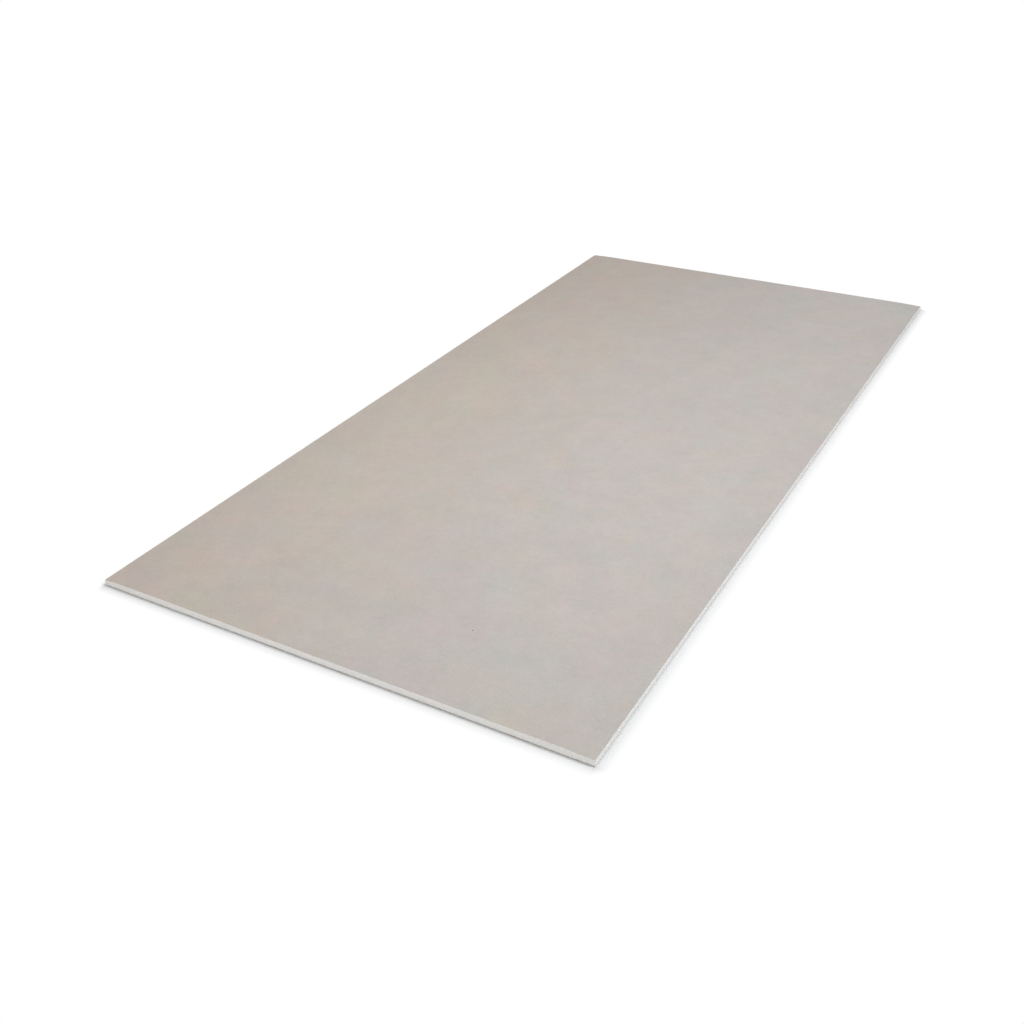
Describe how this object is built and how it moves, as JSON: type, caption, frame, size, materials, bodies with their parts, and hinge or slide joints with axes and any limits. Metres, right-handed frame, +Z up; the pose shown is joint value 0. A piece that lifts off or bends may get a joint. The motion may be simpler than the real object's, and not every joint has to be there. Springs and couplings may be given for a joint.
{
  "type": "drywall sheet",
  "caption": "Flat rectangular gypsum board, its paper face folded round tapered long edges and its ends sawn square, for lining walls and ceilings.",
  "frame": {"origin": "under the middle of the sheet, on the plane that its back rests on", "axes": "+X across the sheet, +Y along it, +Z up out of the face"},
  "size_m": [1.2192, 2.4384, 0.0159],
  "materials": {
    "gypsum": "dry, chalky and matte, with fine pores where it is sawn",
    "face_paper": "smooth matte paper, pale grey-beige",
    "back_paper": "coarser matte paper, grey-brown"
  },
  "bodies": {
    "root": {"gypsum_core": "gypsum", "face_paper": "face_paper", "back_paper": "back_paper"}
  },
  "joints": []
}
